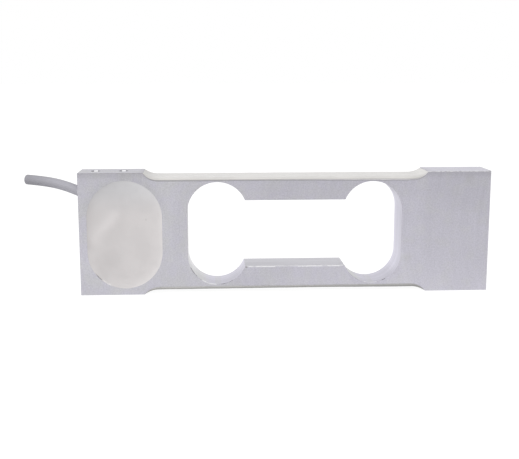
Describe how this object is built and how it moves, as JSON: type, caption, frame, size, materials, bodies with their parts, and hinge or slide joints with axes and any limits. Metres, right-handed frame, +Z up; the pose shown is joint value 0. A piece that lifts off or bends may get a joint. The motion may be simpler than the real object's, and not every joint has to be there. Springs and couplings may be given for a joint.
{
  "type": "cantilever beam load cell",
  "caption": "Aluminium bending-beam load cell with a dog-bone window, white-coated gauge recesses, a potted side pocket, tapped end holes and a short cable stub.",
  "frame": {"origin": "centre of the bar's underside, midway along its length and width, in the plane of the two bottom pads", "axes": "+X along the bar from the cable end to the free end; +Y through the width, away from the potted pocket; +Z up through the height"},
  "size_m": [0.1521, 0.012, 0.04],
  "materials": {
    "bar_aluminium": "fine matt blasted surface, pale grey with a lavender cast",
    "gauge_coating": "ivory white silicone, satin",
    "potting": "warm grey-white silicone, satin, slightly uneven",
    "gauge_film": "amber film",
    "gauge_foil": "etched foil",
    "lead_wire": "enamelled copper",
    "solder": "bright solder",
    "board": "green solder mask",
    "board_tape": "white foam tape",
    "resistor": "dark chip",
    "cable_jacket": "grey, satin, smooth",
    "cable_shield": "tinned braid",
    "core_red": "red insulation",
    "core_black": "black insulation",
    "core_green": "green insulation",
    "core_white": "white insulation",
    "conductor": "stranded copper"
  },
  "bodies": {
    "root": {"beam_body": "bar_aluminium", "board_solder": "solder", "board_tape": "board_tape", "cable_jacket": "cable_jacket", "cable_shield": "cable_shield", "circuit_board": "board", "core_black": "core_black", "core_conductors": "conductor", "core_green": "core_green", "core_red": "core_red", "core_white": "core_white", "lower_cable_end_gauge_film": "gauge_film", "lower_cable_end_gauge_grid": "gauge_foil", "lower_free_end_gauge_film": "gauge_film", "lower_free_end_gauge_grid": "gauge_foil", "lower_gauge_coating": "gauge_coating", "lower_gauge_leads": "lead_wire", "lower_gauge_solder": "solder", "pocket_potting": "potting", "span_resistor": "resistor", "span_temperature_resistor": "resistor", "upper_cable_end_gauge_film": "gauge_film", "upper_cable_end_gauge_grid": "gauge_foil", "upper_free_end_gauge_film": "gauge_film", "upper_free_end_gauge_grid": "gauge_foil", "upper_gauge_coating": "gauge_coating", "upper_gauge_leads": "lead_wire", "upper_gauge_solder": "solder", "zero_balance_resistor": "resistor", "zero_temperature_resistor": "resistor"}
  },
  "joints": []
}
